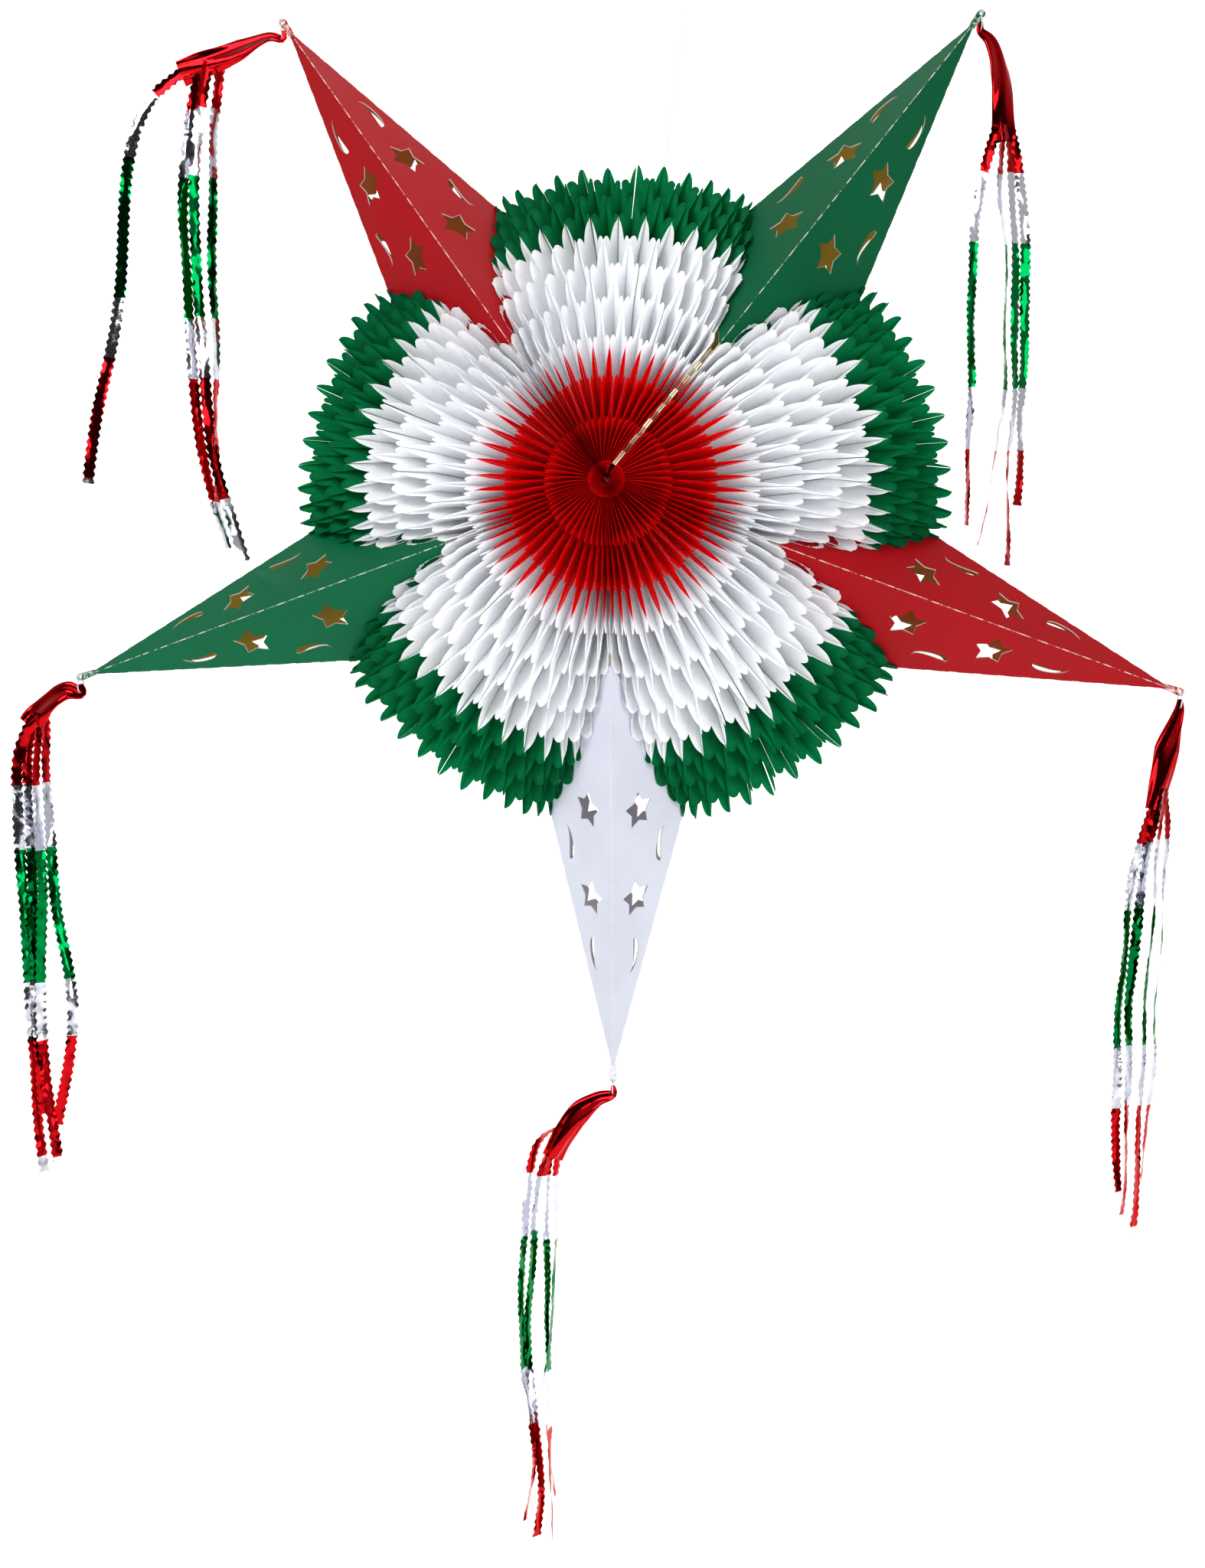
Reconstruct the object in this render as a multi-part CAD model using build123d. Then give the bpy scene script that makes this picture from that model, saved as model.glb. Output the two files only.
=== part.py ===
from build123d import *
import os
from math import cos, radians, sin, sqrt, tan

# Hanging star decoration: five lobes of honeycomb tissue round a spine cord,
# with a printed card cone between each pair of lobes and a film tassel tied to each tip.
# Millimetres, +Z up, +Y to the back. The origin is the top of the hanging loop.
# Each piece is drawn about the hub, where the spine cord crosses the star's plane,
# and is moved down from the loop when it is written.

# Directions round the hub, in degrees from +X towards +Z
CONE_DIRECTIONS = {"bottom": 270, "left": 198, "upper_left": 126, "right": 342, "upper_right": 54}
LOBE_DIRECTIONS = {
    "top": 90,
    "upper_left": 162,
    "lower_left": 234,
    "lower_right": 306,
    "upper_right": 18,
}
SECTOR = 360 / len(CONE_DIRECTIONS)

# Card cones: four flat panels that meet at a front ridge, a back ridge and two side edges
TIP_RADIUS = 320.0
CONE_HALF_WIDTH = 14.3  # degrees, seen from the front
CONE_HALF_DEPTH = 18.0  # degrees, seen from the side
RIDGE_BASE_RADIUS = 90.0
SIDE_BASE_RADIUS = 150.0
CARD = 0.6
STAR_RADIUS = 10.8
STAR_WAIST = 0.56  # inner radius of a star over its outer radius
MOON_LENGTH = 21.0
MOON_BULGE = 5.8
MOON_THICKNESS = 4.6
# cut-outs of one panel: shape, distance from the tip, place from the ridge (0) to the side edge (1),
# and for a moon the side that its back faces, 1 for the side edge and -1 for the ridge
CUT_OUTS = [
    ("moon", 68, 0.56, 1),
    ("star", 102, 0.48, 0),
    ("moon", 132, 0.80, -1),
    ("star", 152, 0.36, 0),
]

# Crimped tip of a cone, with the hole that its tie goes through
TAB_LENGTH = 9.0
TAB_WIDTH = 4.6
TAB_THICKNESS = 1.2
TIE_HOLE_RADIUS = 1.0
TIE_WIRE_RADIUS = 0.35
TIE_RING_RADIUS = 4.5

# Tissue lobes: closed solids with the outer shape of the opened honeycomb
LOBE_RADIUS = 184.0
LOBE_SHOULDER = 114.0  # radius halfway from the star's plane to the front
LOBE_HALF_DEPTH = 125.0
LOBE_WALL = 13.0
LOBE_VOID_ANGLE = 33.0
LOBE_GAP = 0.7
THREAD_CHANNEL_RADIUS = 1.3

# Hub: the spine cord, the loops that bind each divider to it, and the dividers
SPINE_RADIUS = 1.5
SPINE_HALF_LENGTH = 112.0
SPINE_KNOT_RADIUS = 3.2
CORE_RADIUS = 6.0
LOOP_CLEARANCE = 0.25
LOOP_WALL = 0.8
LOOP_WIDTH = 1.4
FIRST_STATION = 20.0
STATION_PITCH = 14.0
DIVIDER = 0.8
DIVIDER_HUB_EDGE = 6.5

# Cream boards at the seam where the fan is opened and closed
BOARD = 0.8
BOARD_RADIUS = 154.0
BOARD_SHOULDER = 101.0
BOARD_HALF_DEPTH = 118.0
BOARD_HUB_EDGE = 8.0
BOARD_CLEARANCE = 0.4
SCALLOP_PITCH = 12.5
SCALLOP_RADIUS = 3.0
TAB_REACH = 16.0
TAB_DEPTH = 19.0

# Tassels of metallised film
EYELET_CLEARANCE = 0.4
EYELET_WALL = 0.6
EYELET_LENGTH = 1.2
NECK_WIDTH = 3.0
HEADER_WIDTH = 12.0
HEADER_THICKNESS = 3.2
STRIP_WIDTH = 6.0
FILM = 0.4
STRIP_BEND = 14.0
# Each tassel as it hangs, in X and Z from its pivot: the neck and header, then each strip
TASSELS = {
    "bottom": {
        "header": [(0, 0), (-9, -4), (-22, -16), (-34, -38)],
        "strips": [
            [(-33, -20), (-44, -34), (-50, -81), (-49, -152), (-43, -206), (-47, -252)],
            [(-30, -20), (-40, -45), (-44, -95), (-46, -164), (-38, -222), (-40, -263)],
            [(-28, -18), (-36, -40), (-39, -83), (-37, -176), (-34, -268)],
            [(-26, -18), (-32, -50), (-33, -106), (-39, -187), (-30, -238)],
        ],
    },
    "left": {
        "header": [(0, 0), (-8, 1), (-18, -6), (-30, -20)],
        "strips": [
            [(-27, -14), (-36, -40), (-35, -95), (-31, -164), (-29, -228), (-24, -280)],
            [(-25, -12), (-32, -36), (-30, -95), (-28, -176), (-24, -246)],
            [(-23, -12), (-26, -45), (-24, -118), (-27, -190), (-16, -273)],
            [(-22, -10), (-22, -50), (-18, -118), (-8, -189), (-17, -252)],
        ],
    },
    "upper_left": {
        "header": [(0, 0), (-9, 1), (-30, -8), (-58, -18)],
        "strips": [
            [(-52, -15), (-76, -34), (-88, -71), (-94, -145), (-106, -206), (-112, -244)],
            [(-46, -13), (-52, -44), (-55, -94), (-50, -161), (-46, -217), (-30, -280)],
            [(-42, -12), (-47, -44), (-49, -94), (-45, -161), (-40, -224), (-22, -287)],
            [(-38, -12), (-43, -44), (-46, -105), (-41, -172), (-38, -260)],
        ],
    },
    "right": {
        "header": [(0, 0), (-2, -9), (-6, -26), (-11, -56)],
        "strips": [
            [(-10, -48), (-22, -92), (-26, -173), (-26, -225), (-25, -271)],
            [(-8, -46), (-16, -92), (-21, -162), (-20, -230), (-22, -284)],
            [(-7, -44), (-10, -92), (-14, -162), (-15, -219), (-16, -298)],
            [(-5, -44), (-5, -92), (-8, -162), (-9, -219), (-12, -264)],
        ],
    },
    "upper_right": {
        "header": [(0, 0), (6, -7), (11, -28), (14, -58)],
        "strips": [
            [(10, -50), (4, -73), (0, -115), (1, -192), (0, -264)],
            [(13, -50), (13, -82), (17, -126), (18, -192), (12, -242), (6, -275)],
            [(15, -50), (19, -82), (22, -137), (23, -192), (21, -246), (22, -286)],
            [(17, -50), (25, -86), (27, -137), (27, -192), (26, -253)],
        ],
    },
}

# Hanging thread: it leaves the hub a little to the right of straight up
THREAD_LEAN = 6.7
THREAD_RADIUS = 0.3
THREAD_LENGTH = 290.0
LOOP_RADIUS = 6.0

thread_direction = Vector(sin(radians(THREAD_LEAN)), 0, cos(radians(THREAD_LEAN)))
thread_end = SPINE_RADIUS + THREAD_LENGTH
hub_to_origin = thread_direction * (thread_end + 2 * LOOP_RADIUS)

width_slope = tan(radians(CONE_HALF_WIDTH))
depth_slope = tan(radians(CONE_HALF_DEPTH))
# how far a panel's plane moves along the cone's axis for each millimetre of its own offset
panel_advance = sqrt(1 / width_slope**2 + 1 / depth_slope**2 + 1)


def turned(direction, shape):
    # from straight up to a direction round the hub
    return Rot(0, 90 - direction, 0) * shape


def polyhedron(points, faces):
    return Solid(Shell([Face(Wire.make_polygon([points[n] for n in f], close=True)) for f in faces]))


def cone_space(offset):
    # what a cone and the hollow under it take up, grown by offset: hub, ridges, side edges, tip
    tip = TIP_RADIUS + offset * panel_advance
    ridge = depth_slope * (tip - RIDGE_BASE_RADIUS)
    side = width_slope * (tip - SIDE_BASE_RADIUS)
    points = {
        "hub": (0, 0, 0),
        "tip": (0, 0, tip),
        "front": (0, -ridge, RIDGE_BASE_RADIUS),
        "back": (0, ridge, RIDGE_BASE_RADIUS),
        "left": (-side, 0, SIDE_BASE_RADIUS),
        "right": (side, 0, SIDE_BASE_RADIUS),
    }
    around = ["front", "right", "back", "left", "front"]
    faces = [(end, a, b) for end in ("hub", "tip") for a, b in zip(around, around[1:])]
    return polyhedron(points, faces)


def pyramid(tip):
    # solid inside the four panels, whose planes meet at tip
    half_width = width_slope * tip
    half_depth = depth_slope * tip
    points = [
        (0, 0, tip),
        (0, -half_depth, 0),
        (half_width, 0, 0),
        (0, half_depth, 0),
        (-half_width, 0, 0),
    ]
    return polyhedron(points, [(0, 1, 2), (0, 2, 3), (0, 3, 4), (0, 4, 1), (1, 2, 3, 4)])


def star():
    points = []
    for n in range(10):
        radius = STAR_RADIUS * (STAR_WAIST if n % 2 else 1)
        angle = radians(36 * n - 90)
        points.append((radius * cos(angle), radius * sin(angle)))
    return make_face(Polyline(*points, close=True))


def moon(back):
    half = MOON_LENGTH / 2
    outer = ThreePointArc((-half, 0), (0, back * MOON_BULGE), (half, 0))
    inner = ThreePointArc((half, 0), (0, back * (MOON_BULGE - MOON_THICKNESS)), (-half, 0))
    return make_face([outer, inner])


def panel_place(side, face, from_tip, across):
    # a plane on one panel: side is -1 or 1 along X, face is -1 or 1 along Y
    ridge = Vector(0, face * depth_slope, -1)
    edge = Vector(side * width_slope, 0, -1)
    along = ridge * (1 - across) + edge * across
    normal = Vector(side / width_slope, face / depth_slope, 1)
    to_edge = (edge - ridge).normalized()
    # the cut-out's own Y axis points at the side edge
    x_axis = to_edge.cross(normal.normalized())
    if x_axis.Z > 0:
        x_axis = x_axis * -1
        normal = normal * -1
    return Plane(origin=Vector(0, 0, TIP_RADIUS) + along * from_tip, x_dir=x_axis, z_dir=normal)


def kite():
    # seen from the front, a cone ends at its ridge bases and side bases
    side = width_slope * (TIP_RADIUS - SIDE_BASE_RADIUS)
    reach = TIP_RADIUS + 2 * TAB_LENGTH
    edge = side * (reach - SIDE_BASE_RADIUS) / (TIP_RADIUS - SIDE_BASE_RADIUS)
    points = [(-edge, reach), (-side, SIDE_BASE_RADIUS), (0, RIDGE_BASE_RADIUS)]
    points += [(side, SIDE_BASE_RADIUS), (edge, reach)]
    depth = 2 * depth_slope * TIP_RADIUS
    return Rot(90, 0, 0) * extrude(make_face(Polyline(*points, close=True)), depth / 2, both=True)


def cone():
    shell = pyramid(TIP_RADIUS) - pyramid(TIP_RADIUS - CARD * panel_advance)
    shell &= kite()
    cutters = []
    for side in (-1, 1):
        for face in (-1, 1):
            for shape, from_tip, across, back in CUT_OUTS:
                outline = star() if shape == "star" else moon(back)
                place = panel_place(side, face, from_tip, across)
                cutters.append(place * extrude(outline, 4 * CARD, both=True))
    shell -= cutters
    tab = extrude(SlotOverall(TAB_LENGTH + TAB_WIDTH, TAB_WIDTH), TAB_THICKNESS / 2, both=True)
    tab = Rot(90, 0, 0) * Rot(0, 0, 90) * tab
    tab = Pos(0, 0, TIP_RADIUS + (TAB_LENGTH - TAB_WIDTH) / 2) * tab
    hole = Pos(0, 0, tie_height) * Rot(90, 0, 0) * Cylinder(TIE_HOLE_RADIUS, 4 * TAB_THICKNESS)
    return shell + tab - hole


def fan_profile(radius, shoulder, half_depth, core):
    # outline of one tissue leaf from the spine outwards, in Y and distance from the hub
    middle = half_depth / 2
    front = ThreePointArc((-half_depth, core), (-middle, shoulder), (0, radius))
    back = ThreePointArc((0, radius), (middle, shoulder), (half_depth, core))
    spine = Line((half_depth, core), (-half_depth, core))
    return Plane.YZ * make_face([front, back, spine])


def lobe(clear_of_clockwise, clear_of_other):
    # clear_of_* is the gap to the plane and cone on each side
    outline = fan_profile(LOBE_RADIUS, LOBE_SHOULDER, LOBE_HALF_DEPTH, CORE_RADIUS)
    body = Rot(0, -SECTOR / 2, 0) * revolve(outline, Axis.Y, SECTOR)
    for turn, gap in ((SECTOR / 2, clear_of_clockwise), (-SECTOR / 2, clear_of_other)):
        slab = Box(2 * gap, 3 * LOBE_HALF_DEPTH, 3 * LOBE_RADIUS)
        body -= Rot(0, turn, 0) * slab
        body -= Rot(0, turn, 0) * cone_space(gap)
    inner = fan_profile(
        LOBE_RADIUS - 1.3 * LOBE_WALL,
        LOBE_SHOULDER - 1.3 * LOBE_WALL,
        LOBE_HALF_DEPTH - 2.2 * LOBE_WALL,
        CORE_RADIUS + 2 * LOBE_WALL,
    )
    return body - Rot(0, -LOBE_VOID_ANGLE / 2, 0) * revolve(inner, Axis.Y, LOBE_VOID_ANGLE)


def seam_layer(nearest, thickness):
    # the space of one board that lies on a cone, from nearest to nearest + thickness off it
    furthest = nearest + thickness
    depth, height = 3 * LOBE_HALF_DEPTH, 3 * LOBE_RADIUS
    outer = cone_space(furthest) + Box(2 * furthest, depth, height)
    inner = cone_space(nearest) + Box(2 * nearest, depth, height)
    return outer - inner


def seam_board(nearest):
    outline = fan_profile(BOARD_RADIUS, BOARD_SHOULDER, BOARD_HALF_DEPTH, BOARD_HUB_EDGE)
    board = extrude(outline, amount=BOARD_RADIUS, dir=(-1, 0, 0)) & seam_layer(nearest, BOARD)
    front = ThreePointArc(
        (-BOARD_HALF_DEPTH, BOARD_HUB_EDGE),
        (-BOARD_HALF_DEPTH / 2, BOARD_SHOULDER),
        (0, BOARD_RADIUS),
    )
    count = round(front.length / (2 * SCALLOP_RADIUS + SCALLOP_PITCH / 2))
    notches = []
    for n in range(1, count):
        place = front @ (n / count)
        for face in (1, -1):
            notch = Rot(0, 90, 0) * Cylinder(SCALLOP_RADIUS, BOARD_RADIUS)
            notches.append(Pos(0, face * place.X, place.Y) * notch)
    return board - notches


def closing_tab():
    # cream tab on the end board, which is stuck to the back of the cone to hold the fan open
    middle = BOARD_RADIUS + TAB_REACH / 2
    reach = Box(BOARD_RADIUS, TAB_DEPTH, TAB_REACH, align=(Align.MAX, Align.MIN, Align.CENTER))
    return seam_layer(end_board_gap, BOARD) & (Pos(0, 0, middle) * reach)


def divider():
    # card leaf between two lobes, glued into the base of its cone
    inside_tip = TIP_RADIUS - CARD * panel_advance
    corner = depth_slope * (inside_tip - RIDGE_BASE_RADIUS)
    corner -= DIVIDER / 2 * depth_slope / width_slope + LOOP_CLEARANCE
    hub = FIRST_STATION + STATION_PITCH * len(CONE_DIRECTIONS) + LOOP_WIDTH
    points = [(-hub, DIVIDER_HUB_EDGE), (-corner, RIDGE_BASE_RADIUS)]
    points += [(corner, RIDGE_BASE_RADIUS), (hub, DIVIDER_HUB_EDGE)]
    outline = Plane.YZ * make_face(Polyline(*points, close=True))
    return extrude(outline, DIVIDER / 2, both=True)


def binding_loops(station, shift, thickness, hub_edge):
    # a loop round the spine cord at the front and back, and its tongue to the card's hub edge
    inner = SPINE_RADIUS + LOOP_CLEARANCE
    outer = inner + LOOP_WALL
    y = FIRST_STATION + STATION_PITCH * station
    bore = Rot(90, 0, 0) * Cylinder(inner, 2 * LOOP_WIDTH)
    ring = Rot(90, 0, 0) * Cylinder(outer, LOOP_WIDTH)
    tongue = Box(thickness, LOOP_WIDTH, hub_edge, align=(Align.CENTER, Align.CENTER, Align.MIN))
    loop = ring + Pos(shift, 0, 0) * tongue
    if abs(shift) > outer / 2:
        width = abs(shift) + thickness / 2
        across = Box(width, LOOP_WIDTH, LOOP_WALL, align=(Align.MAX, Align.CENTER, Align.MIN))
        loop += Pos(0, 0, inner) * across
    loop -= bore
    return Compound([Pos(0, y, 0) * loop, Pos(0, -y, 0) * loop])


def spine_cord():
    cord = Rot(90, 0, 0) * Cylinder(SPINE_RADIUS, 2 * SPINE_HALF_LENGTH)
    for face in (-1, 1):
        cord += Pos(0, face * SPINE_HALF_LENGTH, 0) * Sphere(SPINE_KNOT_RADIUS)
    return cord


def along_direction(direction, radius):
    angle = radians(direction)
    return Vector(radius * cos(angle), 0, radius * sin(angle))


def tip_tie(direction):
    # wire ring through the tip's hole, hanging straight down whichever way the cone points
    hole = along_direction(direction, tie_height)
    ring = Rot(0, 90, 0) * Torus(TIE_RING_RADIUS, TIE_WIRE_RADIUS)
    return Pos(*(hole - Vector(0, 0, TIE_RING_RADIUS))) * ring


def tassel_pivot(direction):
    return along_direction(direction, tie_height) - Vector(0, 0, 2 * TIE_RING_RADIUS)


def band(points, width, thickness, bend=0):
    # flat band along a path in X and Z, centred on Y = 0
    path = FilletPolyline(*points, radius=bend) if bend else Polyline(*points)
    return Rot(90, 0, 0) * extrude(trace(path, width), thickness / 2, both=True)


def tassel_header(direction, points):
    bore = TIE_WIRE_RADIUS + EYELET_CLEARANCE
    eyelet = Rot(90, 0, 0) * Cylinder(bore + EYELET_WALL, EYELET_LENGTH)
    neck = band(points[:3], NECK_WIDTH, EYELET_LENGTH)
    start = (Vector(*points[1]) + Vector(*points[2])) * 0.5
    header = band([(start.X, start.Y), points[2], points[3]], HEADER_WIDTH, HEADER_THICKNESS)
    hole = Rot(90, 0, 0) * Cylinder(bore, 4 * EYELET_LENGTH)
    return Pos(*tassel_pivot(direction)) * (eyelet + neck + header - hole)


def tassel_strips(direction, routes):
    # strips lie in layers on both faces of the header
    strips = []
    for n, points in enumerate(routes):
        face = 1 if n % 2 else -1
        y = face * (HEADER_THICKNESS / 2 + FILM / 2 + FILM * (n // 2))
        strips.append(Pos(0, y, 0) * band(points, STRIP_WIDTH, FILM, STRIP_BEND))
    return Pos(*tassel_pivot(direction)) * Compound(strips)


def hanging_thread():
    thread = Cylinder(THREAD_RADIUS, THREAD_LENGTH, align=(Align.CENTER, Align.CENTER, Align.MIN))
    return Rot(0, THREAD_LEAN, 0) * Pos(0, 0, SPINE_RADIUS) * thread


def hanging_loop():
    ring = Rot(90, 0, 0) * Torus(LOOP_RADIUS, THREAD_RADIUS)
    centre = thread_direction * (thread_end + LOOP_RADIUS + THREAD_RADIUS)
    return Pos(*centre) * ring


def write(name, shape):
    if isinstance(shape, ShapeList):
        shape = Compound(list(shape))
    shape = Pos(*(hub_to_origin * -1)) * shape
    export_step(shape, f"parts/{name}.step")


os.makedirs("parts", exist_ok=True)
tie_height = TIP_RADIUS + TAB_LENGTH - TAB_WIDTH
mating_board_gap = LOBE_GAP
end_board_gap = mating_board_gap + BOARD + BOARD_CLEARANCE
top_lobe_gap = end_board_gap + BOARD + BOARD_CLEARANCE

write("spine_cord", spine_cord())
write("hanging_thread", hanging_thread())
write("hanging_loop", hanging_loop())

plain_cone = cone()
plain_divider = divider()
for station, (name, direction) in enumerate(CONE_DIRECTIONS.items()):
    write(f"cone_{name}", turned(direction, plain_cone))
    write(f"divider_{name}", turned(direction, plain_divider))
    loops = binding_loops(station, 0, DIVIDER, DIVIDER_HUB_EDGE)
    write(f"binding_loops_{name}", turned(direction, loops))
    write(f"tip_tie_{name}", tip_tie(direction))
    tassel = TASSELS[name]
    write(f"tassel_header_{name}", tassel_header(direction, tassel["header"]))
    write(f"tassel_strips_{name}", tassel_strips(direction, tassel["strips"]))

plain_lobe = lobe(LOBE_GAP, LOBE_GAP)
channel = Rot(0, THREAD_LEAN, 0) * Cylinder(
    THREAD_CHANNEL_RADIUS, 2 * LOBE_RADIUS, align=(Align.CENTER, Align.CENTER, Align.MIN)
)
for name, direction in LOBE_DIRECTIONS.items():
    if name == "top":
        write("tissue_lobe_top", turned(direction, lobe(top_lobe_gap, LOBE_GAP)) - channel)
    else:
        write(f"tissue_lobe_{name}", turned(direction, plain_lobe))

seam = CONE_DIRECTIONS["upper_right"]
end_station = len(CONE_DIRECTIONS)
end_shift = -(end_board_gap + BOARD / 2)
write("mating_board", turned(seam, seam_board(mating_board_gap)) - channel)
write("end_board", turned(seam, seam_board(end_board_gap)) - channel)
write("closing_tab", turned(seam, closing_tab()))
end_loops = binding_loops(end_station, end_shift, BOARD, BOARD_HUB_EDGE)
write("binding_loops_end", turned(seam, end_loops))
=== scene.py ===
import random
from math import acos, asin, atan, cos, pi, radians, sin, tan

import bmesh
import bpy
from mathutils import Matrix, Vector, noise


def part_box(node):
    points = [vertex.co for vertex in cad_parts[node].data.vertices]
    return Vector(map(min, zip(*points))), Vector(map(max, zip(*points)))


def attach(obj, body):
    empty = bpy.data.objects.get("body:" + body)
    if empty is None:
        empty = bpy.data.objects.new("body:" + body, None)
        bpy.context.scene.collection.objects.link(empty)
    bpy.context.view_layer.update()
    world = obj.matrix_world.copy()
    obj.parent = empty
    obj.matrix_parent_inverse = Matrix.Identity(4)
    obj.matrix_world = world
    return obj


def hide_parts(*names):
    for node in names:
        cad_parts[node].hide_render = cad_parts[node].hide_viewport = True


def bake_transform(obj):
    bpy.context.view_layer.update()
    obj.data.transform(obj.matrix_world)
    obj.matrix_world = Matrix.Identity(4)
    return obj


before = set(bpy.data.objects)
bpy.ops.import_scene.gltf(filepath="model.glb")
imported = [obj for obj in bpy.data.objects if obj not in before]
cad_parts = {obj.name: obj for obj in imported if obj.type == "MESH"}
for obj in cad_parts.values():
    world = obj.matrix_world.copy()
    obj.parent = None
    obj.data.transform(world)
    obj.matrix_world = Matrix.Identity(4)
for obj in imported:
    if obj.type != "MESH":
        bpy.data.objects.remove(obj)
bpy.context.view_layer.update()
mm = 0.001

lowHub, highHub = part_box("spine_cord")
hub = (Vector(lowHub) + Vector(highHub)) / 2  # where the spine cord crosses the star's plane

# directions round the hub, in degrees from +X towards +Z
coneDirections = {"bottom": 270, "left": 198, "upper_left": 126, "right": 342, "upper_right": 54}
# direction, the body at its first side, the body at its other side, and which way that is
lobes = {
    "lower_left": (234, "bottom_sector", "left_sector", -1),
    "upper_left": (162, "left_sector", "upper_left_sector", -1),
    "top": (90, "upper_left_sector", "end_sector", -1),
    "lower_right": (306, "bottom_sector", "right_sector", 1),
    "upper_right": (18, "right_sector", "upper_right_sector", 1),
}


# Camera

cameraSettings = {
    "fromHub": (0.055, -0.938, -0.092),
    "azimuth": 3.85,
    "elevation": 3.92,
    "roll": 0.74,
    "lens": 50,
    "sensorWidth": 36,
}


def makeCamera(settings):
    azimuth, elevation = radians(settings["azimuth"]), radians(settings["elevation"])
    roll = radians(settings["roll"])
    back = Vector((sin(azimuth) * cos(elevation), -cos(azimuth) * cos(elevation), sin(elevation)))
    across = Vector((cos(azimuth), sin(azimuth), 0))
    up = back.cross(across)
    right = across * cos(roll) + up * sin(roll)
    top = up * cos(roll) - across * sin(roll)
    data = bpy.data.cameras.new("camera")
    data.lens = settings["lens"]
    data.sensor_width = settings["sensorWidth"]
    data.sensor_fit = "HORIZONTAL"
    data.clip_start, data.clip_end = 0.01, 30
    camera = bpy.data.objects.new("camera", data)
    bpy.context.collection.objects.link(camera)
    place = Matrix((right, top, back)).transposed().to_4x4()
    place.translation = hub + Vector(settings["fromHub"])
    camera.matrix_world = place
    bpy.context.scene.camera = camera


makeCamera(cameraSettings)
print("camera is set")


# Materials

def rgb(red, green, blue):
    # from a 0 to 255 screen colour to the linear one that a socket takes
    return tuple(c / 12.92 if c <= 0.04045 else ((c + 0.055) / 1.055) ** 2.4
                 for c in (red / 255, green / 255, blue / 255)) + (1,)


class Wire:
    # a socket that Python's own signs work on
    def __init__(self, paint, socket):
        self.paint, self.socket = paint, socket

    def maths(self, operation, *values):
        return self.paint.node(
            "ShaderNodeMath", {"operation": operation}, dict(enumerate(values)))

    def __add__(self, other):
        return self.maths("ADD", self, other)

    def __radd__(self, other):
        return self.maths("ADD", other, self)

    def __sub__(self, other):
        return self.maths("SUBTRACT", self, other)

    def __rsub__(self, other):
        return self.maths("SUBTRACT", other, self)

    def __mul__(self, other):
        return self.maths("MULTIPLY", self, other)

    def __rmul__(self, other):
        return self.maths("MULTIPLY", other, self)

    def __truediv__(self, other):
        return self.maths("DIVIDE", self, other)

    def __abs__(self):
        return self.maths("ABSOLUTE", self)

    def smaller(self, other):
        return self.maths("MINIMUM", self, other)

    def ramp(self, low, high, to=(0, 1)):
        # eases from one value to the other as this goes from low to high
        return self.paint.node("ShaderNodeMapRange", {"interpolation_type": "SMOOTHSTEP"}, {
            "Value": self, "From Min": low, "From Max": high, "To Min": to[0], "To Max": to[1]})


class Paint:
    # a material and the nodes that make it
    def __init__(self, name):
        self.material = bpy.data.materials.new(name)
        self.material.use_nodes = True
        self.tree = self.material.node_tree
        self.tree.nodes.clear()
        self.places = {}

    def node(self, kind, settings, inputs, output=0):
        made = self.tree.nodes.new(kind)
        for name, value in settings.items():
            if name == "stops":
                stops = made.color_ramp.elements
                while len(stops) < len(value):
                    stops.new(1)
                for stop, (position, colour) in zip(stops, value):
                    stop.position, stop.color = position, colour
            elif name == "steps":
                made.color_ramp.interpolation = value
            else:
                setattr(made, name, value)
        for name, value in inputs.items():
            if isinstance(value, Wire):
                self.tree.links.new(value.socket, made.inputs[name])
            else:
                made.inputs[name].default_value = value
        return Wire(self, made.outputs[output])

    def place(self, kind):
        # Object, or UV
        if kind not in self.places:
            self.places[kind] = self.node("ShaderNodeTexCoord", {}, {}, kind)
        return self.places[kind]

    def part(self, vector, axis):
        return self.node("ShaderNodeSeparateXYZ", {}, {"Vector": vector}, axis)

    def stretched(self, vector, scale):
        return self.node("ShaderNodeMapping", {}, {"Vector": vector, "Scale": scale})

    def noise(self, vector, scale, detail=2, roughness=0.5):
        return self.node("ShaderNodeTexNoise", {}, {
            "Vector": vector, "Scale": scale, "Detail": detail, "Roughness": roughness})

    def mix(self, factor, first, second):
        return self.node("ShaderNodeMix", {"data_type": "RGBA"},
                         {0: factor, 6: first, 7: second}, 2)

    def shaded(self, colour, amount):
        # a colour made darker or lighter by an amount near 1
        grey = self.node("ShaderNodeCombineColor", {}, {0: amount, 1: amount, 2: amount})
        return self.node("ShaderNodeMix", {"data_type": "RGBA", "blend_type": "MULTIPLY"},
                         {0: 1.0, 6: colour, 7: grey}, 2)

    def bump(self, height, distance, strength=1.0):
        return self.node("ShaderNodeBump", {}, {
            "Height": height, "Distance": distance, "Strength": strength})

    def surface(self, inputs):
        return self.node("ShaderNodeBsdfPrincipled", {}, inputs)

    def last(self, shader):
        # the Output node has no outputs of its own, so it is not made by node
        made = self.tree.nodes.new("ShaderNodeOutputMaterial")
        self.tree.links.new(shader.socket, made.inputs["Surface"])
        return self.material


tissueSettings = {  # lit colour, colour at the cut edges, colour that shines through
    "red": (rgb(222, 8, 14), rgb(170, 2, 8), rgb(245, 6, 12)),
    "white": (rgb(250, 252, 254), rgb(254, 254, 255), rgb(252, 252, 255)),
    "green": (rgb(4, 128, 76), rgb(0, 96, 54), rgb(2, 150, 84)),
    "rows": 20,
    "roughness": 0.8,
    "through": 0.42,
    "fibre": 1400,
    "fibreDepth": 0.00012,
}


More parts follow.
